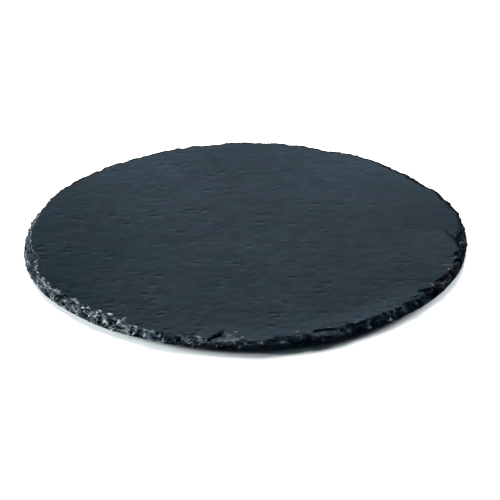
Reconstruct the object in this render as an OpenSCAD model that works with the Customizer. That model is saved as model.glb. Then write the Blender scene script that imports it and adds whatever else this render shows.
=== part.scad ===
// Round slate serving board with a knapped edge, standing on four small rubber feet.
// Millimetres. The origin is on the table surface below the middle of the board,
// +Z points up and the front of the board faces -Y.

/* [Slate] */
// Mean diameter of the board, measured at its lower edge
board_d = 300; // [240:5:360]
// Thickness of the slate
slate_t = 5; // [4:0.5:8]
// Gap between the table and the underside of the slate
lift = 2.5; // [2:0.1:5]
// Number of facets round the edge
edge_steps = 300; // [180:12:420]

/* [Knapped edge] */
// Least width of the bevel, seen from above
bevel_w = 1; // [0.5:0.1:3]
// Size of the chips, 1 is as modelled
chip_scale = 1; // [0.6:0.1:1.2]
// Number of scars round the edge
small_chips = 84; // [60:4:120]
// Unevenness of the outline
wobble = 1; // [0:0.1:1.5]

/* [Feet] */
// Diameter of a foot where it meets the slate
foot_d = 16; // [10:1:24]
// Distance of the feet from the middle of the board
foot_reach = 105; // [70:5:105]
// Draft of the foot's side, top to bottom
foot_draft = 0.4; // [0.1:0.1:0.8]
// Rounding of the foot's lower edge
foot_round = 0.6; // [0.3:0.1:0.8]
// Thickness of the adhesive disc
adhesive_t = 0.2; // [0.1:0.05:0.4]
// Step in radius between the foot and its adhesive disc
adhesive_inset = 0.5; // [0.2:0.1:1]

/* [Hidden] */

R = board_d / 2;
scale_r = board_d / 300;
foot_h = lift - adhesive_t;

// Heights of the rings of points up the edge, 0 is the underside and 1 the serving face.
// The close pair near 0.6 makes the flat ledges where a layer of slate has split away.
LEVELS = [0.3, 0.58, 0.66, 0.84];

// The larger breaks in the upper edge, as [angle, half width in degrees, extra depth].
// Angles run anticlockwise seen from above, 0 is the right-hand side and 270 is the front.
BREAKS = [[195, 5, 5], [235, 8, 3], [265, 4, 8], [290, 10, 3], [320, 5, 4], [350, 10, 3]];

// Number of blows that knapped the upper edge back.
BLOWS = 72;

// Stretches of the edge that are broken in a step, as [from, to].
LEDGES = [[191.5, 199.5], [262.5, 269], [351, 356]];

// Repeatable spread of values from 0 to 1.
function spread(k) = ((k * k * 7919 + k * 1729 + 4241) % 10007) / 10007;

// Scars of the separate blows, as [angle, half width in degrees].
SCARS = [for (k = [0 : small_chips - 1]) [(k + 0.8 * spread(k)) * 360 / small_chips, 2.2 + 2.4 * spread(k + 500)]];

// Difference between two angles, from -180 to 180.
function turn(a, b) = let (d = (a - b) % 360) d > 180 ? d - 360 : (d < -180 ? d + 360 : d);

// Radius of the lower edge at an angle.
function edge_r(a) = R + scale_r * wobble * (
    0.35 * sin(2 * a + 40) + 0.3 * sin(5 * a + 110) + 0.22 * sin(9 * a + 20)
    + 0.14 * sin(17 * a + 75));

// How hard the blows fell at an angle, from 0 to 1.
function blow(a) = let (x = a * BLOWS / 360, k = floor(x), f = x - k)
    (1 - f) * spread(k % BLOWS + 900) + f * spread((k + 1) % BLOWS + 900);

// Extra depth of the larger breaks at an angle: a bowl, deepest in its middle.
function break_w(a) = max([for (b = BREAKS) let (u = turn(a, b[0]) / b[1]) abs(u) < 1 ? b[2] * (1 - u * u) : 0]);

// Depth of the upper edge behind the lower one at an angle.
function arris_w(a) = scale_r * max(bevel_w, chip_scale * (2.8 + 0.8 * sin(a + 180) + 2.4 * blow(a) + break_w(a)));

// How a step opens with height: steep, a flat ledge, steep again.
function step_share(h) = h <= 0.58 ? 0.34 * h / 0.58
    : (h <= 0.66 ? 0.34 + 0.56 * (h - 0.58) / 0.08 : 0.9 + 0.1 * (h - 0.66) / 0.34);

// How one scar opens with height at an angle: a bowl that starts lowest in its middle.
function scar_share(c, a, h) = let (u = turn(a, c[0]) / c[1])
    abs(u) >= 0.97 ? 0 : max(0, (h - u * u) / (1 - u * u));

// Share of the depth of the upper edge that the edge has at an angle and height.
function edge_share(a, h) =
    max([for (l = LEDGES) a > l[0] && a < l[1] ? 1 : 0]) == 1 ? step_share(h)
    : max(concat([0.45 * h + 0.55 * pow(h, 4)], [for (c = SCARS) scar_share(c, a, h)]));

// Depth of the knapped edge at an angle and height.
function knap_w(a, h) = arris_w(a) * edge_share(a, h);

// Outline of the lower edge, and the shift that puts the middle of its extents on the origin.
OUTLINE = [for (j = [0 : edge_steps - 1]) let (a = j * 360 / edge_steps) edge_r(a) * [cos(a), sin(a)]];
XS = [for (p = OUTLINE) p[0]];
YS = [for (p = OUTLINE) p[1]];
SHIFT = [(min(XS) + max(XS)) / 2, (min(YS) + max(YS)) / 2];

// Depth of the edge carried on in a straight line below the underside and above the serving face.
function carried_w(a, h) = h < 0 ? -knap_w(a, -h) : (h > 1 ? 2 * knap_w(a, 1) - knap_w(a, 2 - h) : knap_w(a, h));

// The edge surface, a little taller than the slate.
module knapped_blank() {
    levels = concat([-LEVELS[0]], LEVELS, [2 - LEVELS[len(LEVELS) - 1]]);
    n = edge_steps;
    m = len(levels);
    points = [for (h = levels) for (j = [0 : n - 1]) let (a = j * 360 / n, r = edge_r(a) - carried_w(a, h))
        [r * cos(a) - SHIFT[0], r * sin(a) - SHIFT[1], lift + slate_t * h]];
    walls = [for (i = [0 : m - 2]) for (j = [0 : n - 1]) let (k = (j + 1) % n)
        each [[i * n + j, (i + 1) * n + j, (i + 1) * n + k], [i * n + j, (i + 1) * n + k, i * n + k]]];
    bottom = [[for (j = [0 : n - 1]) j]];
    top = [[for (j = [n - 1 : -1 : 0]) (m - 1) * n + j]];
    polyhedron(points = points, faces = concat(walls, bottom, top), convexity = 4);
}

// The slate plate: flat underside, flat serving face and knapped edge.
module slate_disc() {
    color([0.16, 0.2, 0.23])
        intersection() {
            knapped_blank();
            translate([-board_d, -board_d, lift]) cube([2 * board_d, 2 * board_d, slate_t]);
        }
}

// Centre of a foot, sx and sy are the side it is on.
function foot_at(sx, sy) = [sx * foot_reach * scale_r * sqrt(0.5), sy * foot_reach * scale_r * sqrt(0.5), 0];

// A foot: drafted side, rounded lower edge and flat base.
module foot(sx, sy) {
    rt = foot_d / 2;
    rb = rt - foot_draft;
    arc = [for (q = [0 : 15 : 90]) [rb - foot_round + foot_round * sin(q), foot_round - foot_round * cos(q)]];
    color([0.05, 0.05, 0.05])
        translate(foot_at(sx, sy))
            rotate_extrude($fn = 96)
                polygon(concat([[0, 0]], arc, [[rt, foot_h], [0, foot_h]]));
}

// The adhesive disc that holds a foot on the slate.
module adhesive(sx, sy) {
    color([0.85, 0.83, 0.76])
        translate(foot_at(sx, sy) + [0, 0, foot_h])
            cylinder(r = foot_d / 2 - adhesive_inset, h = adhesive_t, $fn = 96);
}

module foot_front_left() { foot(-1, -1); }
module foot_front_right() { foot(1, -1); }
module foot_rear_left() { foot(-1, 1); }
module foot_rear_right() { foot(1, 1); }
module adhesive_front_left() { adhesive(-1, -1); }
module adhesive_front_right() { adhesive(1, -1); }
module adhesive_rear_left() { adhesive(-1, 1); }
module adhesive_rear_right() { adhesive(1, 1); }

slate_disc();
foot_front_left();
foot_front_right();
foot_rear_left();
foot_rear_right();
adhesive_front_left();
adhesive_front_right();
adhesive_rear_left();
adhesive_rear_right();
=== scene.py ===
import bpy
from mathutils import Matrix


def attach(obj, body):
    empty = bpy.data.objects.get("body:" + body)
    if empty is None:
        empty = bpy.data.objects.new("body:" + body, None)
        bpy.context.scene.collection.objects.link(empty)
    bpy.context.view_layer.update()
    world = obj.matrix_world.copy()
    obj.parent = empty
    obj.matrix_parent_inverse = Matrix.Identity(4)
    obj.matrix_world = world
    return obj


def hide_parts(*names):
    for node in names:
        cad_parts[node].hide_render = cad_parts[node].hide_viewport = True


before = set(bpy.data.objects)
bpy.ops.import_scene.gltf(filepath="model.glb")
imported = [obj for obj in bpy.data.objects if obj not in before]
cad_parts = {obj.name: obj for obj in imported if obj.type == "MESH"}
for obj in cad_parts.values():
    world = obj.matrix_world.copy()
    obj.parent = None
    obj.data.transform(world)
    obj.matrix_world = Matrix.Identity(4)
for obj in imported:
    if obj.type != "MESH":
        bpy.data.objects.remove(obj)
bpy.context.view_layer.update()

# Round slate serving board with a knapped edge on four small rubber feet.
# Shapes are worked out in millimetres and written to the meshes in metres.
import math

import bpy
import numpy as np
from mathutils import Matrix, Vector

MM = 0.001
LIFT, THICK, RADIUS = 2.5, 5.0, 150.0
FOOT_D, FOOT_REACH, FOOT_DRAFT, FOOT_ROUND = 16.0, 105.0, 0.4, 0.6
ADHESIVE_T, ADHESIVE_INSET = 0.2, 0.5
FOOT_H = LIFT - ADHESIVE_T
FEET = {"front_left": (-1, -1), "front_right": (1, -1), "rear_left": (-1, 1), "rear_right": (1, 1)}

# ---------------------------------------------------------------- noise

_rng = np.random.RandomState(11)
PERM = _rng.permutation(256)
GRAD = _rng.normal(size=(256, 3))
GRAD /= np.linalg.norm(GRAD, axis=1)[:, None]


def perlin(p):
    i = np.floor(p).astype(np.int64)
    f = p - i
    u = f * f * f * (f * (f * 6 - 15) + 10)
    out = np.zeros(len(p))
    for k in range(8):
        o = np.array([k & 1, k >> 1 & 1, k >> 2 & 1])
        c = (i + o) & 255
        h = PERM[(PERM[(PERM[c[:, 0]] + c[:, 1]) & 255] + c[:, 2]) & 255]
        w = np.prod(np.where(o == 1, u, 1 - u), axis=1)
        out += w * np.einsum("ij,ij->i", GRAD[h], f - o)
    return out * 1.6


def fbm(x, y, z, octaves=3, gain=0.5):
    """Layered noise, about -1 to 1, at points that may be given as numbers or arrays."""
    x, y, z = np.broadcast_arrays(np.asarray(x, float), np.asarray(y, float), np.asarray(z, float))
    p = np.stack([x.ravel(), y.ravel(), z.ravel()], axis=1)
    total, amp, norm = np.zeros(len(p)), 1.0, 0.0
    for o in range(octaves):
        total += amp * perlin(p * 2.03 ** o + 17.3 * o)
        norm += amp
        amp *= gain
    return (total / norm).reshape(x.shape)


def step(lo, hi, v):
    t = np.clip((v - lo) / (hi - lo), 0, 1)
    return t * t * (3 - 2 * t)


_cells = np.random.RandomState(31).rand(256, 6)


def facets(x, y, z):
    """Small flat planes at random slopes, as on broken stone: about -0.5 to 0.5, one cell a unit wide."""
    p = np.stack([x, y, z], axis=1)
    i = np.floor(p).astype(np.int64)
    best = np.full(len(p), np.inf)
    out = np.zeros(len(p))
    for k in range(27):
        c = i + np.array([k % 3 - 1, k // 3 % 3 - 1, k // 9 - 1])
        m = c & 255
        h = PERM[(PERM[(PERM[m[:, 0]] + m[:, 1]) & 255] + m[:, 2]) & 255]
        d = p - (c + _cells[h, :3])
        near = np.einsum("ij,ij->i", d, d)
        tilt = np.einsum("ij,ij->i", 2 * _cells[h, 3:] - 1, d) + 0.5 * (_cells[h, 3] - 0.5)
        out = np.where(near < best, tilt, out)
        best = np.minimum(best, near)
    return out


# ---------------------------------------------------------------- the knapped edge, as in the CAD model

# How far the upper edge is knapped back behind the lower one, (angle, mm), anticlockwise from the right-hand side.
ARRIS = [
    (0, 4), (3, 3), (8, 1.5), (17, 2.7), (24, 2.4), (29, 4.6), (34, 4.4), (39, 5), (45, 3.9), (50, 3.2),
    (58, 2.9), (61, 4.6), (65, 6.2), (69, 4.7), (73, 2.8), (77, 3.1), (80.5, 1.2), (83, 3), (88, 3.6), (91, 1),
    (95, 1.2), (98, 2.7), (102, 3.3), (106, 2.7), (113, 2.3), (117, 3.8), (125, 4.1), (130, 3.4), (144, 3.3), (155, 2.8),
    (161, 2.7), (168, 4.6), (175, 5.2), (181, 4.2), (184, 4.6), (188, 4), (191, 6.1), (193, 7.5), (195, 9.8), (197, 9),
    (199.5, 6.7), (203, 4.8), (207, 2.5), (213, 3), (216, 5), (219.5, 6.5), (225, 6.2), (230, 6.2), (232, 7.6), (239, 7.7),
    (241, 6), (243, 4.4), (247, 2.9), (252, 3), (257, 3.8), (260, 4.2), (262.5, 2.6), (268.5, 2.2), (270, 3.4),
    (272, 3), (274, 2.9), (276, 4.3), (278.5, 5.5), (281, 4.7), (283, 5.2), (284.6, 5.8), (285.8, 7.6), (287.2, 8.2),
    (289, 7.6), (291, 6.8), (293.2, 6), (294.4, 6.6), (295.6, 8), (296.8, 6), (298, 7.4), (300, 6.6), (302, 5.8), (304.6, 4.8),
    (306.8, 6.2), (309, 5.4), (311, 5), (313.8, 6.4), (315.4, 5.2), (319.6, 5), (320.5, 6.8), (321.4, 7.4), (322.8, 6),
    (324.6, 4.6), (326.2, 6.6), (329.4, 6.2), (331, 5.2), (334.6, 5.4), (337, 4.8), (339.4, 5.8), (341.6, 7.4), (343.5, 7.2),
    (345.2, 5.6), (346.8, 2.8), (348, 5.2), (350, 7), (352.5, 8.3), (355, 7.6), (357.5, 5.2), (360, 4)]
LEDGES = [(191.5, 199.5), (286.0, 291.5), (325.2, 330.2), (336.5, 340.5), (350.5, 356)]
HIGH_LEDGE = (286.0, 291.5)   # this one lies a layer higher than the others


def spread(k):
    return ((k * k * 7919 + k * 1729 + 4241) % 10007) / 10007


_sc = np.random.RandomState(47)
# Scars of the separate blows: angle, half width in degrees, and how hollow each one is.
SCARS = [((k + 0.9 * _sc.rand()) * 360 / 120, 1.1 + 2.2 * _sc.rand() ** 1.5, 0.4 + 0.7 * _sc.rand()) for k in range(120)]


def turn(a, b):
    return (a - b + 180) % 360 - 180


def edge_r(a):
    s = lambda v: np.sin(np.radians(v))
    return RADIUS + (0.35 * s(2 * a + 40) + 0.3 * s(5 * a + 110) + 0.22 * s(9 * a + 20)
                     + 0.14 * s(17 * a + 75))


def arris_w(a):
    """Depth of the upper edge behind the lower one."""
    a = a % 360
    return np.maximum(1.0, np.interp(a, [p[0] for p in ARRIS], [p[1] for p in ARRIS]))


def step_share(h):
    return np.where(h <= 0.58, 0.34 * h / 0.58,
                    np.where(h <= 0.66, 0.34 + 0.56 * (h - 0.58) / 0.08, 0.9 + 0.1 * (h - 0.66) / 0.34))


def edge_share(a, h):
    """Share of the upper edge's depth that the edge has at angles a and height fractions h."""
    w = 0.45 * h + 0.55 * h ** 4
    for a0, half, hollow in SCARS:
        u = turn(a, a0) / half
        bowl = np.maximum(0, (h - u * u) / np.maximum(0.05, 1 - u * u)) ** hollow
        w = np.maximum(w, np.where(np.abs(u) < 0.97, bowl, 0))
    for lo, hi in LEDGES:
        inside = step(lo - 0.5, lo + 0.5, a % 360) * step(hi + 0.5, hi - 0.5, a % 360)
        w = w * (1 - inside) + step_share(h - (0.12 if (lo, hi) == HIGH_LEDGE else 0.0)) * inside
    return w


SHIFT = []
for _axis in (np.cos, np.sin):
    _a = np.arange(300) * 1.2
    _v = edge_r(_a) * _axis(np.radians(_a))
    SHIFT.append((_v.min() + _v.max()) / 2)

SEGS = 1280
ANG = np.arange(SEGS) * 360 / SEGS


_chip = np.random.RandomState(23)
FINE = []
for _k in range(190):   # flakes a few millimetres wide
    FINE.append((_chip.rand() * 360, 0.5 + 1.1 * _chip.rand(), 0.4 + 1.3 * _chip.rand() ** 1.5, 0.6 * _chip.rand()))
for _k in range(800):   # crumbs along the upper arris
    FINE.append((_chip.rand() * 360, 0.18 + 0.3 * _chip.rand(), 0.15 + 0.6 * _chip.rand() ** 2, 0.25 + 0.6 * _chip.rand()))


def fine_w(a, h):
    w = np.zeros(SEGS)
    for a0, half, depth, start in FINE:
        u = turn(a, a0) / half
        d = depth * np.maximum(0, (h - start) / (1 - start) - u * u)
        w = np.maximum(w, np.where(np.abs(u) < 1, d, 0))
    return w


# ---------------------------------------------------------------- the riven faces

GRAIN = math.radians(-6)


def grain_axes(x, y):
    return x * math.cos(GRAIN) + y * math.sin(GRAIN), -x * math.sin(GRAIN) + y * math.cos(GRAIN)


def riven(x, y, seed, strength=1.0):
    """Relief of a split face in mm: slow waves, low cleavage steps and a fine ripple along the grain."""
    p, q = grain_axes(x, y)
    warp = 7 * fbm(p / 45, q / 30, seed + 5, 2)
    broad = 0.2 * fbm(p / 110, q / 75, seed, 2)
    k = 5.5 * fbm(p / 62, (q + warp) / 17, seed + 20, 4, 0.55) + 40
    f = np.floor(k)
    steps = 0.055 * (f - 40 + step(0.36, 0.64, k - f)) * (0.6 + 0.4 * fbm(p / 50, q / 50, seed + 9, 2))
    ripple = 0.04 * fbm(p / 13, q / 4.2, seed + 40, 3, 0.6)
    return strength * (broad + steps + ripple)


def feet_mask(x, y):
    """0 where an adhesive disc meets the underside, 1 away from it."""
    m = np.ones_like(x)
    for sx, sy in FEET.values():
        c = FOOT_REACH * math.sqrt(0.5)
        m *= step(8.5, 15, np.hypot(x - sx * c, y - sy * c))
    return m


_sp = np.random.RandomState(5)
# Shallow scales lifted off beside the arris: angle, half width, reach inwards, depth, and which side is deepest.
SPALLS = [(231, 4, 5, 0.3, 1), (245, 3, 4, 0.35, -1), (201, 3.5, 4.5, 0.4, 1), (292, 3.5, 5, 0.35, -1), (313, 3, 4, 0.35, -1),
          (351, 4, 5.5, 0.5, -1), (340, 2.5, 4, 0.4, 1), (327, 3, 4, 0.3, -1), (181, 4, 3.5, 0.3, 1), (90, 3, 3, 0.25, 1), (68, 4, 4, 0.3, -1),
          (11, 4, 2.0, 0.5, 1), (18, 5, 2.4, 0.6, -1), (26, 5, 2.6, 0.6, 1), (34, 5, 2.4, 0.6, -1), (41, 3.5, 1.8, 0.45, 1)]
for _k in range(44):
    SPALLS.append((_sp.rand() * 360, 0.8 + 2.4 * _sp.rand(), 1.2 + 3.2 * _sp.rand(), 0.12 + 0.3 * _sp.rand(), 1 if _sp.rand() < 0.5 else -1))


def spall_depth(d):
    """Depth in mm of the shallow scales at a distance d (an array over the segments) from the arris."""
    out = np.zeros(SEGS)
    for a0, half, reach, depth, side in SPALLS:
        u = turn(ANG, a0) / half
        v = 1 - (d / reach) ** 2 - u * u
        out = np.maximum(out, depth * step(0, 0.22, v) * (0.55 + 0.45 * side * u))
    return out


# Creases where a thin scale has lifted: each step runs from (x0, y0) to (x1, y1), the low ground is on its right
# and runs out over the last number.
SCARPS = [(140.8, -21.0, 134.6, -9.4, 0.9, 3.5), (141.6, -20.0, 143.8, -3.0, 0.6, 3), (140.6, -19.0, 142.4, -34.0, 0.8, 3),
          (118.6, -80.8, 124.8, -72.4, 0.9, 4), (107.8, -90.0, 119.3, -84.6, 1.0, 4), (103.5, -98.4, 107.0, -95.8, 0.6, 3),
          (-136.5, -22.0, -143.5, -32.0, 0.4, 4), (-139.5, -36.9, -134.0, -36.0, 0.5, 4)]
# A wedge broken out of the serving face at the front: its corners, and the depth beside its steep side.
WEDGE = ((-24.5, -146.0), (-13.9, -135.7), (-0.5, -146.6), 2.8)


def scarp_depth(x, y):
    out = np.zeros_like(x)
    for x0, y0, x1, y1, depth, run in SCARPS:
        dx, dy = x1 - x0, y1 - y0
        length = math.hypot(dx, dy)
        dx, dy = dx / length, dy / length
        t = (x - x0) * dx + (y - y0) * dy
        s = (x - x0) * dy - (y - y0) * dx + 0.5 * fbm(x / 3.5, y / 3.5, 9.0, 2)
        ends = step(-2.0, 1.0, t) * step(length + 2.0, length - 1.0, t)
        out = np.maximum(out, depth * step(-0.3, 0.3, s) * np.clip(1 - s / run, 0, 1) * ends)
    return out


# Painted light and shade of the broken edge round the board: angles, then the share of red, green and blue.
EDGE_SHADE = [(0, 20, 45, 130, 155, 168, 195, 215, 237, 246, 260, 295, 312, 328, 350),
              (0.6, 0.55, 0.5, 0.5, 0.8, 0.9, 0.75, 0.55, 0.45, 1.2, 1.35, 1.4, 1.1, 0.7, 0.6),
              (0.55, 0.5, 0.5, 0.5, 0.75, 0.85, 0.75, 0.6, 0.5, 1.4, 1.65, 1.7, 1.3, 0.6, 0.55),
              (0.55, 0.5, 0.5, 0.5, 0.75, 0.85, 0.8, 0.65, 0.6, 1.65, 1.95, 2.0, 1.4, 0.6, 0.55)]

# Single flakes crushed nearly white along the front and left: x, y, z, half length along the edge, half height, strength.
FLECKS = [(-90.5, -110, 7.3, 1.7, 0.9, 0.65), (-84, -114, 7.2, 2.1, 1, 0.95), (-74.5, -119.5, 7.3, 1.1, 1.6, 0.8),
          (-67, -129.5, 7.5, 1.5, 0.8, 0.6), (-106, -96, 7.3, 3.5, 0.7, 0.3), (-119, -85.5, 7.4, 1.6, 0.8, 0.7),
          (-126.5, -74, 7.5, 1.8, 0.8, 0.6), (-130, -68, 7.5, 2.2, 0.8, 0.65), (-135, -59, 7.5, 1.8, 0.8, 0.55),
          (-29, -143.5, 7.5, 1.8, 1, 0.4), (-25, -145.5, 5.7, 2.6, 1.6, 0.3), (-32, -146, 4, 1.5, 1.2, 0.5),
          (-18, -147.3, 3.2, 1, 1.2, 0.5), (-15.5, -147.4, 3.2, 1, 1.2, 0.5), (-10.5, -139.5, 6, 1.2, 1.1, 0.5),
          (-7, -138, 6.5, 1.3, 1, 0.5), (-8, -143, 6, 1.2, 1, 0.5), (-2.5, -144, 7, 1.3, 1, 0.5), (-5, -149, 3.6, 1.1, 1.1, 0.35),
          (8, -148, 5.8, 1.8, 0.8, 0.8), (21.5, -147, 5.4, 3, 0.7, 0.8), (29.5, -138, 7.4, 4, 0.8, 0.12),
          (45, -142, 3.2, 0.8, 2, 0.35), (49.5, -133.5, 7.5, 1, 0.8, 0.4), (58, -136, 4.4, 1.5, 1, 0.3),
          (136.5, -46, 6.9, 2.4, 0.7, 0.12), (133.5, -57.5, 7.5, 1.3, 1, 0.3), (130.5, -62, 7.5, 1, 0.8, 0.3), (117.5, -83, 6.3, 3, 1, 0.25),
          (124.5, -78.5, 5.3, 1.5, 1, 0.3), (87.5, -120, 3.7, 3, 1.2, 0.4), (74.5, -129, 4.4, 2, 1.5, 0.3)]


def white_flecks(p):
    """How white each point is: full in the middle of a fleck, ragged and gone at its edge."""
    out = np.zeros(len(p))
    rag = 0.35 * fbm(p[:, 0] / 1.4, p[:, 1] / 1.4, p[:, 2] / 0.9, 2)
    for x, y, z, half, height, strength in FLECKS:
        r = math.hypot(x, y)
        d = p - np.array([x, y, z])
        along = (d[:, 1] * x - d[:, 0] * y) / r
        inward = (d[:, 0] * x + d[:, 1] * y) / r
        size = np.sqrt((along / half) ** 2 + (inward / height) ** 2 + (d[:, 2] / (1.5 * height)) ** 2)
        out = np.maximum(out, strength * step(1.0, 0.45, size + rag))
    return out


# Painted shade of hollows, and pale splinter lines of the edge. Places are an angle and the height in mm at which the
# mark is seen from the
# front, 27 degrees up. Hollow: place, half length, half height, strength. Line: from place to place, half width,
# strength.
HOLLOWS = [(227.7, 1.9, 3.2, 1.0, 0.8), (234.6, 4.9, 4.2, 0.9, 0.7), (238.4, 6.3, 2.4, 0.9, 0.5), (244.3, 3.8, 3.2, 2.1, 0.75),
           (251.3, 3.0, 3.2, 2.2, 0.7), (254.3, 3.6, 1.8, 2.2, 0.6), (208.0, 2.6, 2.6, 0.8, 0.6), (241.0, 3.4, 1.6, 1.6, 0.4),
           (289.6, 4.6, 4.5, 1.1, 0.6), (287.0, 5.2, 3.0, 0.6, 0.3), (294.8, 5.6, 2.6, 1.2, 0.6),
           (299.5, 5.6, 3.2, 1.1, 0.6), (303.0, 4.8, 4.0, 1.0, 0.5), (307.5, 4.9, 3.2, 0.9, 0.5), (313.8, 4.6, 3.4, 1.1, 0.6)]
LINES = [(226.0, 6.8, 229.0, 5.2, 0.35, 0.3), (229.0, 5.2, 232.5, 4.9, 0.35, 0.35), (232.5, 4.9, 234.7, 1.0, 0.4, 0.5),
         (222.0, 3.8, 225.5, 1.2, 0.4, 0.25), (205.0, 4.4, 212.0, 4.8, 0.35, 0.3), (212.0, 4.8, 216.3, 5.55, 0.35, 0.3),
         (210.0, 2.8, 214.0, 4.1, 0.4, 0.2), (217.0, 2.6, 219.5, 3.4, 0.8, 0.2), (221.0, 6.4, 223.5, 5.6, 0.5, 0.2),
         (255.4, 1.3, 257.2, 4.9, 0.45, 0.25), (259.0, 5.5, 260.3, 3.6, 0.5, 0.25), (259.6, 3.6, 259.0, 1.4, 0.4, 0.2),
         (247.2, 5.6, 249.4, 2.2, 0.9, 0.25), (242.0, 4.4, 242.8, 1.6, 0.4, 0.2), (252.4, 5.2, 253.4, 1.8, 0.4, 0.25),
         (325.0, 6.4, 330.0, 2.4, 0.4, 0.1), (336.5, 6.0, 341.0, 2.2, 0.4, 0.08)]


def edge_marks(angle, p):
    """How much painted shade of hollows and how much pale splinter line each point gets. p is measured from the middle
    of the outline.
    """
    radius = np.hypot(p[:, 0], p[:, 1])
    seen = 0.891 * (p[:, 2] - LIFT) + 0.454 * np.abs(np.sin(np.radians(angle))) * (RADIUS - radius)
    rag = 0.3 * fbm(p[:, 0] / 1.6, p[:, 1] / 1.6, p[:, 2] / 1.0, 2)
    near = (radius > 136) & (p[:, 2] > LIFT + 0.2)
    hollow, line = np.zeros(len(p)), np.zeros(len(p))
    for a0, v0, half, height, strength in HOLLOWS:
        size = np.hypot(turn(angle, a0) * 2.618 / half, (seen - v0) / height)
        hollow = np.maximum(hollow, strength * step(1.0, 0.6, size + rag))
    for a0, v0, a1, v1, wide, strength in LINES:
        dx, dy = (a1 - a0) * 2.618, v1 - v0
        x, y = turn(angle, a0) * 2.618, seen - v0
        t = np.clip((x * dx + y * dy) / (dx * dx + dy * dy), 0, 1)
        size = np.hypot(x - t * dx, y - t * dy) / wide
        line = np.maximum(line, strength * step(1.3, 0.5, size + rag))
    return hollow * near, line * near


def crease_line(x, y):
    """1 in the painted shade line at the foot of each crease, fading along it."""
    out = np.zeros_like(x)
    for x0, y0, x1, y1, depth, run in SCARPS:
        dx, dy = x1 - x0, y1 - y0
        length = math.hypot(dx, dy)
        dx, dy = dx / length, dy / length
        t = (x - x0) * dx + (y - y0) * dy
        s = (x - x0) * dy - (y - y0) * dx + 0.5 * fbm(x / 3.5, y / 3.5, 9.0, 2)
        wide = (0.6 + 0.9 * np.clip(1 - t / length, 0, 1)) * (1.8 if x0 == 140.8 else 1.0)
        worn = 0.75 + 0.6 * fbm(x / 5.0, y / 5.0, 21.0, 2)
        line = step(-0.9, 0.2, s / wide) * step(1.8, 0.3, s / wide) * step(-3.0, 1.0, t) * step(length + 1.5, 0.35 * length, t)
        out = np.maximum(out, 1.0 * depth * line * worn)
    return np.clip(out, 0, 0.8)


def wedge_depth(x, y):
    (ax, ay), (bx, by), (cx, cy), depth = WEDGE

    def right_of(x0, y0, x1, y1, wander):
        length = math.hypot(x1 - x0, y1 - y0)
        return ((x - x0) * (y1 - y0) - (y - y0) * (x1 - x0)) / length + wander

    s = right_of(ax, ay, bx, by, 0.35 * fbm(x / 3.0, y / 3.0, 4.0, 2))
    q = right_of(bx, by, cx, cy, 0.9 * fbm(x / 2.5, y / 2.5, 14.0, 2))
    along = np.clip(((x - ax) * (bx - ax) + (y - ay) * (by - ay)) / ((bx - ax) ** 2 + (by - ay) ** 2), 0, 1)
    ground = depth * (0.3 + 0.7 * along) * np.clip(1 - s / 17, 0, 1) * step(-0.3, 5.5, q)
    ground = ground + 0.22 * facets(x / 2.2, y / 2.2, np.zeros_like(x)) * step(0, 1.5, np.minimum(s, q))
    inside = (s > -0.3) & (q > -0.3)
    # the second value marks painted shade along the steep side of the wedge
    return np.where(inside, ground * step(-0.3, 0.3, s), 0), np.where(inside, step(1.3, 0.5, s) * step(1.5, 4.5, q), 0)


# ---------------------------------------------------------------- building the slate

class Mesh:
    def __init__(self):
        self.v, self.f, self.n = [], [], 0
        self.rim, self.arris, self.up = [], [], []

    def ring(self, x, y, z, rim=0.0, arris=0.0, up=0.0):
        n = len(x)
        self.v.append(np.stack([x, y, z], axis=1))
        self.rim.append(np.broadcast_to(rim, (n,)).astype(float))
        self.arris.append(np.broadcast_to(arris, (n,)).astype(float))
        self.up.append(np.broadcast_to(up, (n,)).astype(float))
        start = self.n
        self.n += n
        return start, n

    def join(self, a, b, flip=False):
        """Faces between ring a and ring b, which has as many points or half as many."""
        (s, n), (t, m) = a, b
        out = []
        if n == m:
            for j in range(n):
                k = (j + 1) % n
                out.append((s + j, s + k, t + k, t + j))
        else:
            for j in range(m):
                k = (j + 1) % m
                p, q, r = 2 * j, 2 * j + 1, (2 * j + 2) % n
                out += [(s + p, s + q, t + j), (s + q, s + r, t + k), (s + q, t + k, t + j)]
        self.f += [f[::-1] for f in out] if flip else out

    def fan(self, a, x, y, z, flip=False):
        c, _ = self.ring(np.array([x]), np.array([y]), np.array([z]))
        s, n = a
        for j in range(n):
            f = (s + j, s + (j + 1) % n, c)
            self.f.append(f[::-1] if flip else f)


def cos_sin(n):
    a = np.radians(np.arange(n) * 360 / n)
    return np.cos(a), np.sin(a)


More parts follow.
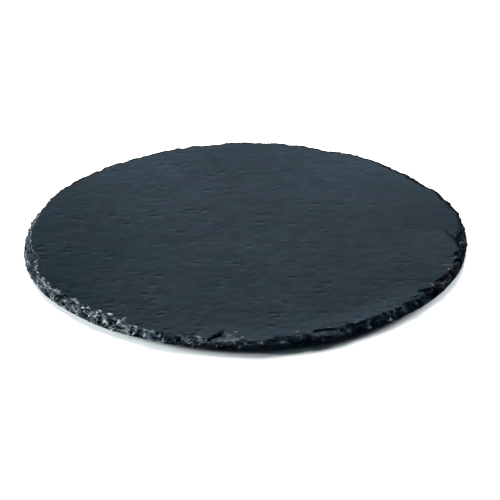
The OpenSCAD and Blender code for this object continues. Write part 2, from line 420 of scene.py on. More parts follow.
def build_slate():
    m = Mesh()
    ca, sa = cos_sin(SEGS)
    ox, oy = SHIFT

    def top_z(x, y):
        z = LIFT + THICK + riven(x, y, 3.0)
        near = np.hypot(x, y) > 118
        if near.any():
            z[near] -= scarp_depth(x[near], y[near]) + wedge_depth(x[near], y[near])[0]
        return z

    def low_z(x, y):
        return LIFT + riven(x, y, 71.0, 0.8) * feet_mask(x, y)

    # The right-hand side broke cleaner than the left.
    clean_side = np.interp(ANG, [0, 30, 262, 290, 360], [1, 0, 0, 1, 1])
    # Heights of the cleavage layers up the edge, wandering a little round the board.
    base = [0, 0.15, 0.3, 0.45, 0.58, 0.66, 0.78, 0.9, 1.0]
    heights = []
    for i, b in enumerate(base):
        wander = 0.0 if i in (0, len(base) - 1) else (0.01 if i in (4, 5) else 0.035)
        heights.append(np.clip(b + wander * fbm(ca * 9, sa * 9, 3.7 * i, 3), 0, 1))
    edge = edge_r(ANG) - 0.12 * np.abs(fbm(ca * 60, sa * 60, 1.5, 3))
    depth = []
    for h in heights:
        bend = ANG + 1.1 * fbm(ca * 12, sa * 12, 2.5 * h, 3)
        lean = np.clip(h + 0.09 * fbm(ca * 16, sa * 16, 40 + 0.5 * h, 2) * h * (1 - h) * 4, 0, 1)
        w = arris_w(ANG + 0.35 * fbm(ca * 30, sa * 30, 5.0, 2)) * edge_share(bend, lean)
        w = w * (1 + 0.12 * fbm(ca * 24, sa * 24, 60 + 2 * h, 3) * h)
        depth.append(w + fine_w(ANG, h) * (1 - 0.5 * clean_side) - 0.5 * h)
    for i in range(1, len(depth)):
        depth[i] = np.maximum(depth[i], depth[i - 1] + 0.03)

    rugged = np.interp(ANG, [0, 20, 60, 140, 165, 255, 285, 320, 360], [0.6, 0.7, 0.9, 1, 1, 1, 0.7, 0.65, 0.6])

    def edge_point(h, w, rough):
        """Points on the knapped edge at height fraction h and depth w, roughened as broken stone."""
        rough = rough * rugged
        r = edge - w
        x, y, z = r * ca, r * sa, LIFT + THICK * h
        big = facets(x / 7 + 20, y / 7, z / 2.4)
        big = big + (1.3 * facets(x / 10 + 20, y / 10, z / 3.5) - big) * clean_side
        small = facets(x / 2.6 + 70, y / 2.6 + 9, z / 0.9)
        n2 = fbm(x / 1.1 + 50, y / 1.1, z / 0.5, 2, 0.6)
        r = r + rough * (1.4 * big + (0.22 * small + 0.03 * n2) * (1 - 0.6 * clean_side))
        x, y = r * ca, r * sa
        zt, zl = top_z(x - ox, y - oy), low_z(x - ox, y - oy)
        z = zl * (1 - h) + zt * h + rough * (0.03 * n2 + 0.15 * big + 0.08 * small)
        return x - ox, y - oy, z

    rings = []
    for i in range(len(base) - 1):
        h0, h1, w0, w1 = heights[i], heights[i + 1], depth[i], depth[i + 1]
        shelf = np.clip(0.42 + 0.5 * fbm(ca * 14, sa * 14, 8.1 + 5.3 * i, 3), 0.1, 0.9)
        if i == 4:
            shelf = np.clip(shelf, 0.1, 0.3)
        wb = w1 - shelf * (w1 - w0)
        hb = h1 - 0.1 * (h1 - h0)
        hm = 0.5 * (h0 + hb)
        wm = 0.5 * (w0 + wb)
        rings.append(m.ring(*edge_point(h0, w0, 0.2 if i == 0 else 1.0), rim=1.0, arris=1.0 if i == 0 else 0.0, up=5 * h0 + 0.6 * w0))
        rings.append(m.ring(*edge_point(hm, wm, 1.0), rim=1.0, up=5 * hm + 0.6 * wm))
        rings.append(m.ring(*edge_point(hb, wb, 1.0), rim=1.0, arris=0.35, up=5 * hb + 0.6 * wb))
    # The upper arris and the serving face beside it.
    x, y, z = edge_point(heights[-1], depth[-1], 0.45)
    x, y = x + ox, y + oy
    r_top = np.hypot(x, y)
    z = top_z(x - ox, y - oy)
    rings.append(m.ring(x - ox, y - oy, z - 0.8 * spall_depth(np.zeros(SEGS)), rim=0.8, arris=1.0, up=5 + 0.6 * depth[-1]))
    inner = 132.0
    for s, rim in ((0.35, 0.3), (0.9, 0.08), (1.6, 0.0), (2.4, 0.0), (3.3, 0.0), (4.3, 0.0), (5.4, 0.0)):
        r = r_top - s
        px, py = r * ca - ox, r * sa - oy
        rings.append(m.ring(px, py, top_z(px, py) - spall_depth(np.full(SEGS, s)), rim=rim, arris=max(0.0, 0.8 - s) * 0.6))
    r_in = r_top - 5.4
    last = 11
    for k in range(1, last + 1):
        t = k / last
        r = r_in * (1 - t) + inner * t
        # the inner ring is a true circle, where the coarser rings begin
        px, py = r * ca - ox, r * sa - oy
        rings.append(m.ring(px, py, top_z(px, py) - spall_depth(r_top - r)))
    for a, b in zip(rings, rings[1:]):
        m.join(a, b)
    # Serving face.
    r, n, prev = inner, SEGS, rings[-1]
    while r > 2.6:
        if 2 * math.pi * r / n < 0.95 and n > 10:
            n //= 2
        r -= 1.45 if r > 30 else 1.9
        if r < 2.2:
            break
        c, s = cos_sin(n)
        px, py = r * c - ox, r * s - oy
        ring = m.ring(px, py, top_z(px, py))
        m.join(prev, ring)
        prev = ring
    m.fan(prev, -ox, -oy, float(top_z(np.array([-ox]), np.array([-oy]))[0]))
    # Underside, from the lower arris inwards.
    prev, n = rings[0], SEGS
    first = True
    for r in [148.2, 146.2, 143.8, 141] + list(np.arange(137.5, 4, -3.1)):
        if 2 * math.pi * r / n < (1.5 if n > 640 else 1.9) and n > 10 and not first:
            n //= 2
        c, s = cos_sin(n)
        rr = np.minimum(r, edge - 1.2) if first else r
        px, py = rr * c - ox, rr * s - oy
        ring = m.ring(px, py, low_z(px, py), rim=0.4 if first else 0.0)
        m.join(prev, ring, flip=True)
        prev, first = ring, False
    m.fan(prev, -ox, -oy, float(low_z(np.array([-ox]), np.array([-oy]))[0]), flip=True)

    co = np.concatenate(m.v) * MM
    me = bpy.data.meshes.new("slate_plate")
    me.from_pydata(co.tolist(), [], m.f)
    me.update()
    flat = co / MM
    angle = np.degrees(np.arctan2(flat[:, 1] + oy, flat[:, 0] + ox)) % 360
    # how pale the broken stone is round the edge: partly its own tone, partly painted shade that keeps the right and
    # front right near black
    pale = np.interp(angle, [0, 20, 60, 120, 158, 200, 215, 230, 262, 272, 285, 300, 320, 345, 360],
                     [0.14, 0.4, 0.85, 0.9, 0.5, 0.5, 0.82, 0.88, 0.93, 0.7, 0.5, 0.38, 0.2, 0.08, 0.14])
    fx, fy = flat[:, 0], flat[:, 1]
    up = np.concatenate(m.up)
    # where the blows crushed the stone into white flecks
    crushed = np.interp(angle, [0, 60, 150, 190, 205, 222, 250, 262, 272, 290, 330, 360],
                        [0.12, 0.4, 0.42, 0.5, 0.7, 1.0, 0.9, 0.5, 0.35, 0.2, 0.12, 0.12])
    # painted shade on the foot of the broken edge at the front: darker, with fewer flecks
    front_foot_shade = step(243, 262, angle) * step(345, 300, angle) * step(3.4, 1.6, np.minimum(up, 1.1 * (flat[:, 2] - LIFT)))
    pale, crushed = pale * (1 - 0.85 * front_foot_shade), crushed * (1 - 0.9 * front_foot_shade)
    # painted shade darker towards the two sides and painted light paler towards the back, livelier grain at the front
    # and back left
    tone = 1 - 0.24 * step(40, 140, -fx) - 0.1 * step(40, 140, fx)
    tone = tone + step(5, 90, fy) * (0.24 * step(10, 90, fx) + 0.17 * step(10, 90, -fx))
    # paler beside the rim at the front, darker at the front left
    out = np.hypot(fx, fy)
    tone = tone * (1 + 0.36 * step(122, 143, out) * step(246, 262, angle) * step(330, 312, angle))
    tone = tone * (1 - 0.15 * step(118, 143, out) * step(188, 200, angle) * step(236, 222, angle))
    tone = tone * (1 + 0.17 * step(104, 124, out) * step(330, 342, angle) * step(362, 350, angle))
    lively = 1 + 0.35 * step(-50, -120, fy) + 0.3 * step(0, 90, -fx) * step(0, 90, fy) - 0.45 * step(10, 90, fx) * step(-110, -20, fy)
    # painted shade, near black: the steep side of the wedge, the foot of each crease and ledge step, the rolled face at
    # the back and the hollows of the edge
    broken_out, painted_shade = wedge_depth(fx, fy)
    painted_shade = np.maximum(painted_shade, crease_line(fx, fy))
    fresh = step(0.05, 0.5, broken_out) * (flat[:, 2] > LIFT + 0.35 * THICK) * (0.45 + 0.55 * step(-21, -9, fx))
    painted_shade = painted_shade * (flat[:, 2] > LIFT + 0.4 * THICK)
    # the foot of the step above each ledge lies in its own shade
    stepped = np.zeros(len(flat))
    for lo, hi in LEDGES[1:]:
        foot = LIFT + (0.8 if (lo, hi) == HIGH_LEDGE else 0.68) * THICK
        here = step(lo - 0.4, lo + 0.8, angle) * step(hi + 0.4, hi - 0.8, angle)
        worn = 0.75 + 0.6 * fbm(fx / 2.5, fy / 2.5, 31.0, 2) - (0.25 if (lo, hi) == HIGH_LEDGE else 0.0)
        stepped = np.maximum(stepped, np.clip(worn, 0.2, 1) * here * step(foot, foot + 0.08 * THICK, flat[:, 2]))
    rims_here = np.concatenate(m.rim)
    painted_shade = np.maximum(painted_shade, 0.95 * stepped * (rims_here > 0.7))
    # painted shade where the serving face rolls over into the edge at the back right, and in a thin line along the back
    beside = np.interp(angle, ANG, r_top, period=360) - np.hypot(fx + ox, fy + oy)
    wide = np.interp(angle, [0, 8, 36, 48, 60], [1.5, 2.8, 3.6, 2.4, 2.2]) * (1 + 0.7 * fbm(fx / 3, fy / 3, 51.0, 2))
    roll = np.interp(angle, [0, 8, 40, 50, 62, 150, 164], [0.5, 0.85, 0.85, 0.55, 0.45, 0.45, 0])
    painted_shade = np.maximum(painted_shade, roll * step(wide, 0.5 * wide, beside) * (flat[:, 2] > LIFT + 0.7 * THICK))
    hollow, streak = edge_marks(angle, flat + [ox, oy, 0])
    painted_shade = np.maximum(painted_shade, hollow)
    # how the light falls off round the edge: cooler at the front, dimmer at the left and right
    shade = np.stack([np.interp(angle, EDGE_SHADE[0], row) for row in EDGE_SHADE[1:]], axis=1)
    me.attributes.new("shade", "FLOAT_VECTOR", "POINT").data.foreach_set("vector", shade.ravel())
    for name, rows in (("rim", np.concatenate(m.rim)), ("arris", np.concatenate(m.arris)), ("pale", pale), ("fresh", fresh),
                       ("painted_shade", painted_shade), ("tone", tone), ("lively", lively), ("crushed", crushed),
                       ("white", np.maximum(white_flecks(flat), streak))):
        me.attributes.new(name, "FLOAT", "POINT").data.foreach_set("value", rows)
    # Place along the edge and up it in mm, for the grain of the broken stone. It starts at the back.
    strip = np.zeros((len(flat), 3))
    strip[:, 0] = np.radians((angle - 90) % 360) * RADIUS
    strip[:, 1] = np.concatenate(m.up)
    me.attributes.new("strip", "FLOAT_VECTOR", "POINT").data.foreach_set("vector", strip.ravel())
    rims = np.concatenate(m.rim)
    broken = [min(rims[v] for v in f) >= 0.75 for f in m.f]
    me.polygons.foreach_set("use_smooth", [True] * len(broken))
    me.polygons.foreach_set("material_index", [int(b) for b in broken])
    me.set_sharp_from_angle(angle=math.radians(27))
    return me


# ---------------------------------------------------------------- feet and adhesive discs

def lathe(name, profile, cx, cy, segs, wobble=0.0, seed=0):
    """A closed turned form: profile is [(r, z)] from the axis below to the axis above."""
    verts, faces = [], []
    angs = np.radians(np.arange(segs) * 360 / segs)
    rows = []
    for r, z in profile:
        if r == 0:
            rows.append([len(verts)])
            verts.append((cx, cy, z))
            continue
        dr = wobble * fbm(np.cos(angs) * 2.2, np.sin(angs) * 2.2, seed + 3 * z, 3)
        rows.append(list(range(len(verts), len(verts) + segs)))
        verts += [(cx + (r + d) * math.cos(a), cy + (r + d) * math.sin(a), z) for a, d in zip(angs, dr)]
    for a, b in zip(rows, rows[1:]):
        for j in range(segs):
            k = (j + 1) % segs
            if len(a) == 1:
                faces.append((a[0], b[k], b[j]))
            elif len(b) == 1:
                faces.append((a[j], a[k], b[0]))
            else:
                faces.append((a[j], a[k], b[k], b[j]))
    me = bpy.data.meshes.new(name)
    me.from_pydata([tuple(c * MM for c in v) for v in verts], [], faces)
    me.polygons.foreach_set("use_smooth", [True] * len(me.polygons))
    me.update()
    me.set_sharp_from_angle(angle=math.radians(35))
    return me


def foot_profile():
    rt = FOOT_D / 2
    rb = rt - FOOT_DRAFT
    p = [(0, 0.12), (2.2, 0.12), (2.5, 0.03), (2.7, 0.0)]
    # two shallow grip grooves in the base
    for g in (4.1, 5.6):
        p += [(g - 0.32, 0.0), (g - 0.2, 0.05), (g - 0.1, 0.14), (g + 0.1, 0.14), (g + 0.2, 0.05), (g + 0.32, 0.0)]
    for q in range(0, 91, 10):
        t = math.radians(q)
        p.append((rb - FOOT_ROUND + FOOT_ROUND * math.sin(t), FOOT_ROUND - FOOT_ROUND * math.cos(t)))
    for t in (0.25, 0.5, 0.75):
        p.append((rb + (rt - 0.08 - rb) * t, FOOT_ROUND + (FOOT_H - 0.14 - FOOT_ROUND) * t))
    p += [(rt - 0.06, FOOT_H - 0.14), (rt, FOOT_H - 0.08), (rt, FOOT_H - 0.03), (rt - 0.05, FOOT_H), (0, FOOT_H)]
    return p


def adhesive_profile():
    r = FOOT_D / 2 - ADHESIVE_INSET
    z = FOOT_H
    return [(0, z), (r - 0.12, z), (r - 0.03, z + 0.02), (r + 0.02, z + 0.07), (r + 0.03, z + 0.1),
            (r + 0.02, z + 0.13), (r - 0.03, z + 0.18), (r - 0.12, z + 0.2), (0, z + 0.2)]


# ---------------------------------------------------------------- materials

class Nodes:
    def __init__(self, name):
        self.mat = bpy.data.materials.new(name)
        self.mat.use_nodes = True
        self.tree = self.mat.node_tree
        self.tree.nodes.clear()
        self.out = self.add("ShaderNodeOutputMaterial")
        self.bsdf = self.add("ShaderNodeBsdfPrincipled")
        self.link(self.bsdf, "BSDF", self.out, "Surface")
        self.coord = self.add("ShaderNodeTexCoord")

    def add(self, kind, **props):
        n = self.tree.nodes.new(kind)
        for k, v in props.items():
            setattr(n, k, v)
        return n

    def link(self, a, out, b, inp):
        self.tree.links.new(a.outputs[out], b.inputs[inp])

    def mapping(self, scale, rotation=(0, 0, 0), location=(0, 0, 0)):
        n = self.add("ShaderNodeMapping")
        n.inputs["Scale"].default_value = scale
        n.inputs["Rotation"].default_value = rotation
        n.inputs["Location"].default_value = location
        self.link(self.coord, "Object", n, "Vector")
        return n

    def noise(self, scale, detail=3.0, rough=0.55, rotation=(0, 0, 0), location=(0, 0, 0), distortion=0.0):
        """Noise whose features are 1/scale metres along each axis."""
        m = self.mapping(scale, rotation, location)
        n = self.add("ShaderNodeTexNoise")
        n.inputs["Scale"].default_value = 1.0
        n.inputs["Detail"].default_value = detail
        n.inputs["Roughness"].default_value = rough
        n.inputs["Distortion"].default_value = distortion
        self.link(m, "Vector", n, "Vector")
        return n

    def strip(self, size, slant=0.0, location=(0, 0, 0)):
        """Place on the rim in units of size mm along it and up it, turned by slant."""
        a = self.add("ShaderNodeAttribute", attribute_name="strip", attribute_type="GEOMETRY")
        m = self.add("ShaderNodeMapping", vector_type="TEXTURE")
        m.inputs["Scale"].default_value = (size[0], size[1], 1.0)
        m.inputs["Rotation"].default_value = (0, 0, slant)
        m.inputs["Location"].default_value = location
        self.link(a, "Vector", m, "Vector")
        return m

    def strip_noise(self, size, detail=3.0, rough=0.55, slant=0.0, location=(0, 0, 0)):
        n = self.add("ShaderNodeTexNoise")
        n.inputs["Scale"].default_value = 1.0
        n.inputs["Detail"].default_value = detail
        n.inputs["Roughness"].default_value = rough
        self.link(self.strip(size, slant, location), "Vector", n, "Vector")
        return n

    def cells(self, m, feature, warp=0.35):
        """Broken planes one unit wide at the place that m gives, their borders bent by noise."""
        bend = self.add("ShaderNodeTexNoise")
        bend.inputs["Scale"].default_value = 1.3
        bend.inputs["Detail"].default_value = 2.0
        self.link(m, "Vector", bend, "Vector")
        add = self.add("ShaderNodeVectorMath", operation="MULTIPLY_ADD")
        add.inputs[1].default_value = (warp, warp, warp)
        self.link(bend, "Color", add, 0)
        self.link(m, "Vector", add, 2)
        n = self.add("ShaderNodeTexVoronoi", feature=feature)
        n.inputs["Scale"].default_value = 1.0
        self.link(add, 0, n, "Vector")
        return n

    def remap(self, src, out, lo, hi, to_lo=0.0, to_hi=1.0, smooth=False):
        n = self.add("ShaderNodeMapRange", interpolation_type="SMOOTHSTEP" if smooth else "LINEAR")
        n.inputs["From Min"].default_value = lo
        n.inputs["From Max"].default_value = hi
        n.inputs["To Min"].default_value = to_lo
        n.inputs["To Max"].default_value = to_hi
        self.link(src, out, n, "Value")
        return n

    def math(self, op, a, b=None, av=None, bv=None, clamp=False):
        n = self.add("ShaderNodeMath", operation=op, use_clamp=clamp)
        for i, (s, v) in enumerate(((a, av), (b, bv))):
            if s is not None:
                self.tree.links.new(s, n.inputs[i])
            elif v is not None:
                n.inputs[i].default_value = v
        return n.outputs[0]

    def mix(self, fac, a, b, mode="MIX"):
        """fac, a and b are sockets, numbers or colours."""
        n = self.add("ShaderNodeMix", data_type="RGBA", blend_type=mode)
        for sock, v in ((n.inputs[0], fac), (n.inputs[6], a), (n.inputs[7], b)):
            if isinstance(v, bpy.types.NodeSocket):
                self.tree.links.new(v, sock)
            elif isinstance(v, tuple):
                sock.default_value = v + (1.0,)
            else:
                sock.default_value = v
        return n.outputs[2]

    def bump(self, height, strength, distance, normal=None):
        n = self.add("ShaderNodeBump")
        n.inputs["Strength"].default_value = strength
        n.inputs["Distance"].default_value = distance
        self.tree.links.new(height, n.inputs["Height"])
        if normal is not None:
            self.tree.links.new(normal, n.inputs["Normal"])
        return n.outputs["Normal"]

    def attribute(self, name):
        return self.add("ShaderNodeAttribute", attribute_name=name, attribute_type="GEOMETRY").outputs["Fac"]


TURN = (0, 0, -GRAIN)


def slate_colour(n):
    """The colour of the stone: blue grey with faint green and purple clouds, streaked along the grain."""
    cloud = n.noise((14, 20, 14), 3, 0.5)
    green = n.noise((26, 38, 26), 2, 0.5, location=(3, 1, 0))
    purple = n.noise((22, 30, 22), 2, 0.5, location=(7, 5, 2))
    col = n.mix(n.remap(cloud, "Fac", 0.35, 0.65).outputs[0], (0.0111, 0.0158, 0.0204), (0.0125, 0.0176, 0.0223))
    col = n.mix(n.remap(green, "Fac", 0.52, 0.72, 0, 0.5).outputs[0], col, (0.0110, 0.0176, 0.0198))
    col = n.mix(n.remap(purple, "Fac", 0.54, 0.74, 0, 0.5).outputs[0], col, (0.0133, 0.0158, 0.0224))
    return col


def riven_material():
    n = Nodes("slate_riven")
    col = slate_colour(n)
    streak = n.noise((130, 155, 400), 1, 0.35, rotation=TURN, distortion=0.15)
    fine_streak = n.noise((260, 420, 1500), 1, 0.5, rotation=TURN, location=(2, 9, 4))
    lively = n.remap(n.noise((45, 60, 45), 2, 0.5, rotation=TURN, location=(8, 3, 5)), "Fac", 0.4, 0.6, 0.25, 1.3).outputs[0]
    grain = n.noise((1500, 2200, 2600), 2, 0.6, rotation=TURN)
    blotch = n.noise((60, 90, 200), 3, 0.6, rotation=TURN, location=(5, 5, 1))
    col = n.mix(1.0, col, n.remap(streak, "Fac", 0.3, 0.7, 0.92, 1.08).outputs[0], "MULTIPLY")
    col = n.mix(1.0, col, n.remap(fine_streak, "Fac", 0.3, 0.7, 0.96, 1.04).outputs[0], "MULTIPLY")
    col = n.mix(1.0, col, n.remap(grain, "Fac", 0.3, 0.7, 0.94, 1.06).outputs[0], "MULTIPLY")
    col = n.mix(1.0, col, n.remap(blotch, "Fac", 0.3, 0.7, 0.9, 1.1).outputs[0], "MULTIPLY")
    # Short shallow nicks that follow the grain, thick in places and rare in others.
    lively = n.math("MULTIPLY", lively, n.attribute("lively"))
    nick = n.cells(n.mapping((106, 164, 200), TURN), "F1", 0.5)
    small_nick = n.cells(n.mapping((168, 215, 300), TURN, (3, 8, 1)), "F1", 0.5)
    lip = n.cells(n.mapping((106, 164, 200), TURN, (0, 0.28, 0)), "F1", 0.5)
    bowls = []
    for node, lo, hi in ((nick, 0.5, 0.64), (small_nick, 0.48, 0.62)):
        bowl = n.remap(node, "Distance", 0.05, 0.5, 1.0, 0.0, smooth=True).outputs[0]
        bowls.append(n.math("MULTIPLY", n.math("MULTIPLY", bowl, n.remap(node, "Color", lo, hi).outputs[0]), lively))
    cuts = n.math("MULTIPLY", bowls[0], None, bv=-1.0)
    # painted highlight: the near lip of a nick is a shade paler
    lip_highlight = n.math("MULTIPLY", n.remap(lip, "Distance", 0.05, 0.42, 1.0, 0.0, smooth=True).outputs[0], n.remap(lip, "Color", 0.5, 0.64).outputs[0])
    col = n.mix(n.math("MULTIPLY", n.math("MULTIPLY", lip_highlight, lively), None, bv=0.16), col, (0.03, 0.038, 0.046))
    # painted shade in the middle of each nick
    col = n.mix(n.math("MULTIPLY", bowls[0], None, bv=0.16), col, (0.003, 0.0055, 0.009))
    # Painted light and shade on the serving face: darker and bluer towards its two sides, paler towards the back.
    tone = n.attribute("tone")
    col = n.mix(n.math("SUBTRACT", None, tone, av=1.0, clamp=True), n.mix(1.0, col, tone, "MULTIPLY"), n.mix(1.0, col, (0.62, 0.84, 0.9), "MULTIPLY"))
    # Bruised, darker stone beside the broken edge.
    rim = n.attribute("rim")
    col = n.mix(n.math("MULTIPLY", rim, None, bv=0.5), col, (0.005, 0.008, 0.012))
    # Freshly broken ground: paler, with crushed flecks.
    fleck = n.noise((420, 420, 900), 3, 0.65, location=(1, 2, 3))
    fresh = n.attribute("fresh")
    col = n.mix(n.math("MULTIPLY", fresh, None, bv=0.9), col, (0.037, 0.045, 0.056))
    # painted shade, near black, at steps, creases, hollows and the rolled edge
    painted_shade = n.attribute("painted_shade")
    col = n.mix(painted_shade, col, (0.0015, 0.003, 0.005))
    spots = n.remap(fleck, "Fac", 0.56, 0.66, smooth=True).outputs[0]
    col = n.mix(n.math("MULTIPLY", n.math("MULTIPLY", spots, fresh), None, bv=0.8), col, (0.1, 0.125, 0.135))
    chalk = n.math("MULTIPLY", n.attribute("white"), n.remap(fleck, "Fac", 0.44, 0.54, 0.1, 1.0).outputs[0])
    col = n.mix(chalk, col, (0.36, 0.41, 0.43))
    n.tree.links.new(col, n.bsdf.inputs["Base Color"])
    n.tree.links.new(n.remap(fine_streak, "Fac", 0.3, 0.7, 0.52, 0.64).outputs[0], n.bsdf.inputs["Roughness"])
    n.bsdf.inputs["Specular IOR Level"].default_value = 0.0
    normal = n.bump(cuts, 1.0, 0.00038)
    normal = n.bump(n.math("MULTIPLY", bowls[1], None, bv=-1.0), 1.0, 0.00021, normal)
    waves = n.math("MULTIPLY", n.math("SUBTRACT", streak.outputs["Fac"], None, bv=0.5), lively)
    normal = n.bump(waves, 1.0, 0.0005, normal)
    normal = n.bump(blotch.outputs["Fac"], 1.0, 0.00012, normal)
    normal = n.bump(fine_streak.outputs["Fac"], 0.5, 0.00006, normal)
    normal = n.bump(grain.outputs["Fac"], 0.3, 0.00002, normal)
    n.tree.links.new(normal, n.bsdf.inputs["Normal"])
    return n.mat


def broken_material():
    """The knapped edge: dark broken stone with painted light and shade round it, and crushed pale ridges and flecks
    where the blows fell hardest.
    """
    n = Nodes("slate_broken")
    pale = n.attribute("pale")
    arris = n.attribute("arris")
    layers = n.strip_noise((9, 0.7), 3, 0.6)
    patch = n.strip_noise((11, 5), 2, 0.5, location=(6, 2, 9))
    fleck = n.noise((520, 520, 900), 3, 0.65, location=(1, 2, 3))
    flake = n.cells(n.strip((9.0, 2.3), -0.3), "F1", 0.5)
    ridge = n.cells(n.strip((9.0, 2.3), -0.3), "DISTANCE_TO_EDGE", 0.5)
    splinter = n.cells(n.strip((4.2, 1.0), -0.2, (5, 5, 5)), "F1", 0.4)
    fine_ridge = n.cells(n.strip((4.2, 1.0), -0.2, (5, 5, 5)), "DISTANCE_TO_EDGE", 0.4)
    band = n.remap(layers, "Fac", 0.35, 0.65).outputs[0]
    dark = n.mix(band, (0.0017, 0.0036, 0.0070), (0.0036, 0.0068, 0.0122))
    stone = n.mix(band, (0.0163, 0.0225, 0.0278), (0.0362, 0.042, 0.046))
    # each broken plane has a tone of its own: plain or dusty, paler towards its rim, and some near black as painted
    # shade of hollows
    dusty = n.remap(splinter, "Color", 0.5, 0.75).outputs[0]
    stone = n.mix(n.math("MULTIPLY", dusty, None, bv=0.25), stone, (0.067, 0.078, 0.081))
    powder = n.remap(flake, "Color", 0.52, 0.66, 0.0, 0.5).outputs[0]
    stone = n.mix(n.math("MULTIPLY", powder, n.remap(flake, "Distance", 0.1, 0.6).outputs[0]), stone, (0.079, 0.091, 0.093))
    hollow = n.remap(flake, "Color", 0.4, 0.46, 1.0, 0.0).outputs[0]
    stone = n.mix(n.math("MULTIPLY", hollow, None, bv=0.65), stone, (0.0022, 0.0048, 0.0085))
    col = n.mix(pale, dark, stone)
    # painted light and shade round the edge: brighter and bluer at the front, dimmer at the sides and back
    shade = n.add("ShaderNodeAttribute", attribute_name="shade", attribute_type="GEOMETRY").outputs["Vector"]
    col = n.mix(1.0, col, shade, "MULTIPLY")
    # crushed ridges and near white flecks
    crushed = n.attribute("crushed")
    line = n.math("ADD", n.remap(ridge, "Distance", 0.015, 0.06, 1.0, 0.0).outputs[0],
                  n.remap(fine_ridge, "Distance", 0.02, 0.08, 0.3, 0.0).outputs[0], clamp=True)
    line = n.math("MULTIPLY", line, n.remap(patch, "Fac", 0.42, 0.58).outputs[0])
    line = n.math("MULTIPLY", line, n.math("MULTIPLY", crushed, None, bv=0.78))
    col = n.mix(line, col, (0.24, 0.28, 0.29))
    speck = n.noise((330, 330, 520), 2, 0.5, location=(4, 2, 3))
    spots = n.remap(speck, "Fac", 0.655, 0.705, 0.0, 0.75, smooth=True).outputs[0]
    amount = n.math("ADD", crushed, n.math("MULTIPLY", arris, None, bv=0.08), clamp=True)
    col = n.mix(n.math("MULTIPLY", spots, amount), col, (0.5, 0.56, 0.57))
    # painted shade, near black, at steps, creases, hollows and the foot of each ledge step
    col = n.mix(n.attribute("painted_shade"), col, (0.0010, 0.0026, 0.0052))
    chalk = n.math("MULTIPLY", n.attribute("white"), n.remap(fleck, "Fac", 0.44, 0.54, 0.15, 1.0).outputs[0])
    col = n.mix(chalk, col, (0.46, 0.51, 0.52))
    n.tree.links.new(col, n.bsdf.inputs["Base Color"])
    n.tree.links.new(n.remap(fleck, "Fac", 0.3, 0.7, 0.6, 0.42).outputs[0], n.bsdf.inputs["Roughness"])
    n.bsdf.inputs["Specular IOR Level"].default_value = 0.0
    normal = n.bump(ridge.outputs["Distance"], 0.6, 0.0008)
    normal = n.bump(fine_ridge.outputs["Distance"], 0.5, 0.0002, normal)
    normal = n.bump(layers.outputs["Fac"], 0.5, 0.0003, normal)
    normal = n.bump(fleck.outputs["Fac"], 0.4, 0.0001, normal)
    n.tree.links.new(normal, n.bsdf.inputs["Normal"])
    return n.mat


def rubber_material():
    n = Nodes("foot_rubber")
    mottle = n.noise((300, 300, 300), 3, 0.6)
    grain = n.noise((2600, 2600, 2600), 3, 0.65)
    dust = n.noise((700, 700, 900), 4, 0.7, location=(4, 2, 6))
    col = n.mix(n.remap(mottle, "Fac", 0.3, 0.7).outputs[0], (0.013, 0.013, 0.014), (0.024, 0.024, 0.025))
    col = n.mix(n.remap(dust, "Fac", 0.62, 0.8, 0, 0.5).outputs[0], col, (0.09, 0.088, 0.084))
    n.tree.links.new(col, n.bsdf.inputs["Base Color"])
    n.tree.links.new(n.remap(grain, "Fac", 0.3, 0.7, 0.62, 0.82).outputs[0], n.bsdf.inputs["Roughness"])
    n.bsdf.inputs["Specular IOR Level"].default_value = 0.4
    normal = n.bump(grain.outputs["Fac"], 0.5, 0.00005)
    n.tree.links.new(normal, n.bsdf.inputs["Normal"])
    return n.mat


def adhesive_material():
    n = Nodes("adhesive_film")
    cloud = n.noise((500, 500, 900), 3, 0.6)
    fibre = n.noise((2400, 800, 3000), 3, 0.6, rotation=(0, 0, 0.6))
    col = n.mix(n.remap(cloud, "Fac", 0.3, 0.7).outputs[0], (0.6, 0.56, 0.47), (0.74, 0.71, 0.63))
    col = n.mix(1.0, col, n.remap(fibre, "Fac", 0.3, 0.7, 0.9, 1.08).outputs[0], "MULTIPLY")
    n.tree.links.new(col, n.bsdf.inputs["Base Color"])
    n.tree.links.new(n.remap(cloud, "Fac", 0.3, 0.7, 0.28, 0.45).outputs[0], n.bsdf.inputs["Roughness"])
    normal = n.bump(fibre.outputs["Fac"], 0.4, 0.00003)
    n.tree.links.new(normal, n.bsdf.inputs["Normal"])
    return n.mat


# ---------------------------------------------------------------- pieces

def place(name, mesh, material):
    ob = bpy.data.objects.new(name, mesh)
    mesh.materials.append(material)
    bpy.context.scene.collection.objects.link(ob)
    return ob


slate = place("slate_plate", build_slate(), riven_material())
slate.data.materials.append(broken_material())
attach(slate, "root")
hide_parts("slate_disc")

rubber, film = rubber_material(), adhesive_material()
for place_name, (sx, sy) in FEET.items():
    c = FOOT_REACH * math.sqrt(0.5)
    foot = place("rubber_foot_" + place_name, lathe("rubber_foot_" + place_name, foot_profile(), sx * c, sy * c, 96), rubber)
    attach(foot, "root")
    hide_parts("foot_" + place_name)
    disc = place("film_" + place_name,
                 lathe("film_" + place_name, adhesive_profile(), sx * c, sy * c, 96, 0.06, 7 * sx + 3 * sy), film)
    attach(disc, "root")
    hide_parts("adhesive_" + place_name)

# ---------------------------------------------------------------- stage, lights and camera

floor_mesh = bpy.data.meshes.new("floor")
half = 1.5
floor_mesh.from_pydata([(-half, -half, 0), (half, -half, 0), (half, half, 0), (-half, half, 0)], [], [(0, 1, 2, 3)])
floor = bpy.data.objects.new("floor", floor_mesh)
bpy.context.scene.collection.objects.link(floor)
fm = bpy.data.materials.new("floor_paper")
fm.use_nodes = True
fb = fm.node_tree.nodes["Principled BSDF"]
fb.inputs["Base Color"].default_value = (0.9, 0.9, 0.9, 1)
fb.inputs["Roughness"].default_value = 0.9
fb.inputs["Specular IOR Level"].default_value = 0.0
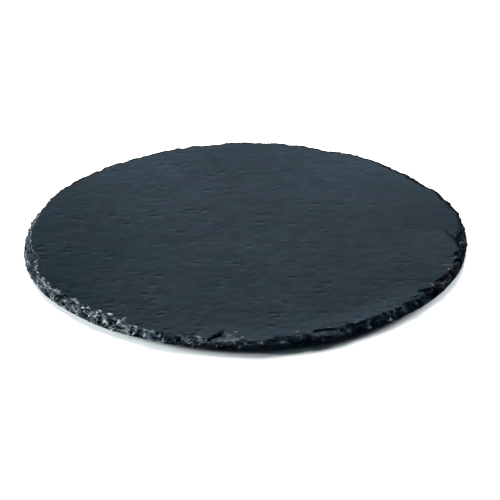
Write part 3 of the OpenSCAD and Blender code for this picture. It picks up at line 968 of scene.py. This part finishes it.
# far from the board the paper runs out into the white backdrop
ft = fm.node_tree
f_coord = ft.nodes.new("ShaderNodeTexCoord")
f_len = ft.nodes.new("ShaderNodeVectorMath")
f_len.operation = "LENGTH"
f_fade = ft.nodes.new("ShaderNodeMapRange")
f_fade.interpolation_type = "SMOOTHSTEP"
f_fade.inputs["From Min"].default_value = 0.5
f_fade.inputs["From Max"].default_value = 1.0
f_fade.inputs["To Min"].default_value = 1.0
f_fade.inputs["To Max"].default_value = 0.0
ft.links.new(f_coord.outputs["Object"], f_len.inputs[0])
ft.links.new(f_len.outputs["Value"], f_fade.inputs["Value"])
ft.links.new(f_fade.outputs[0], fb.inputs["Alpha"])
floor_mesh.materials.append(fm)

scene = bpy.context.scene
scene.view_settings.view_transform = "Standard"
scene.view_settings.look = "None"
scene.view_settings.exposure = 0.0
scene.view_settings.gamma = 1.0

world = bpy.data.worlds.new("studio")
scene.world = world
world.use_nodes = True
wt = world.node_tree
wt.nodes.clear()
w_out = wt.nodes.new("ShaderNodeOutputWorld")
w_mix = wt.nodes.new("ShaderNodeMixShader")
w_cam = wt.nodes.new("ShaderNodeBackground")
w_cam.inputs["Color"].default_value = (1, 1, 1, 1)
w_cam.inputs["Strength"].default_value = 1.0
w_light = wt.nodes.new("ShaderNodeBackground")
w_light.inputs["Color"].default_value = (0.55, 0.87, 1.0, 1)
w_path = wt.nodes.new("ShaderNodeLightPath")
w_coord = wt.nodes.new("ShaderNodeTexCoord")
w_dot = wt.nodes.new("ShaderNodeVectorMath")
w_dot.operation = "DOT_PRODUCT"
w_dot.inputs[1].default_value = (-0.3, 0.5, 0.8)
w_ramp = wt.nodes.new("ShaderNodeMapRange")
w_ramp.inputs["From Min"].default_value = -0.15
w_ramp.inputs["From Max"].default_value = 1.0
w_ramp.inputs["To Min"].default_value = 0.03
w_ramp.inputs["To Max"].default_value = 0.12
wt.links.new(w_coord.outputs["Generated"], w_dot.inputs[0])
wt.links.new(w_dot.outputs["Value"], w_ramp.inputs["Value"])
wt.links.new(w_ramp.outputs[0], w_light.inputs["Strength"])
wt.links.new(w_path.outputs["Is Camera Ray"], w_mix.inputs[0])
wt.links.new(w_light.outputs[0], w_mix.inputs[1])
wt.links.new(w_cam.outputs[0], w_mix.inputs[2])
wt.links.new(w_mix.outputs[0], w_out.inputs["Surface"])


def area(name, where, target, size, power, colour):
    data = bpy.data.lights.new(name, "AREA")
    data.color = colour
    data.shape = "RECTANGLE"
    data.size, data.size_y = size
    data.energy = power
    ob = bpy.data.objects.new(name, data)
    ob.location = where
    ob.rotation_euler = (Vector(target) - Vector(where)).to_track_quat("-Z", "Y").to_euler()
    bpy.context.scene.collection.objects.link(ob)
    return ob


def around(name, azimuth, height, distance, size, power, colour):
    a, h = math.radians(azimuth), math.radians(height)
    return area(name, (distance * math.cos(h) * math.cos(a), distance * math.cos(h) * math.sin(a), distance * math.sin(h)),
                (0, 0, 0), size, power, colour)


around("soft_left", 169, 10, 2.4, (1.0, 0.5), 245, (0.93, 1.0, 1.01))
around("soft_right", 38, 10, 2.4, (1.0, 0.5), 195, (0.93, 1.0, 1.01))
around("soft_back", 97, 37, 0.9, (1.1, 0.5), 27.5, (1.04, 1.0, 0.99))

DIST, ELEV, ROLL = 1.0, math.radians(27.06), math.radians(-0.63)
cam_data = bpy.data.cameras.new("camera")
cam_data.sensor_fit = "HORIZONTAL"
cam_data.sensor_width = 36.0
cam_data.lens = 1459.8 / 500 * 36.0
cam_data.dof.use_dof = False
cam_data.clip_start = 0.01
cam_data.clip_end = 100.0
camera = bpy.data.objects.new("camera", cam_data)
eye = Vector((0, -DIST * math.cos(ELEV), DIST * math.sin(ELEV)))
aim = Vector((0.0026, -0.0176, 0.0))
forward = (aim - eye).normalized()
right = forward.cross(Vector((0, 0, 1))).normalized()
up = right.cross(forward)
right, up = right * math.cos(ROLL) + up * math.sin(ROLL), up * math.cos(ROLL) - right * math.sin(ROLL)
camera.matrix_world = Matrix((
    (right.x, up.x, -forward.x, eye.x),
    (right.y, up.y, -forward.y, eye.y),
    (right.z, up.z, -forward.z, eye.z),
    (0, 0, 0, 1)))
bpy.context.scene.collection.objects.link(camera)
scene.camera = camera

bpy.context.view_layer.update()
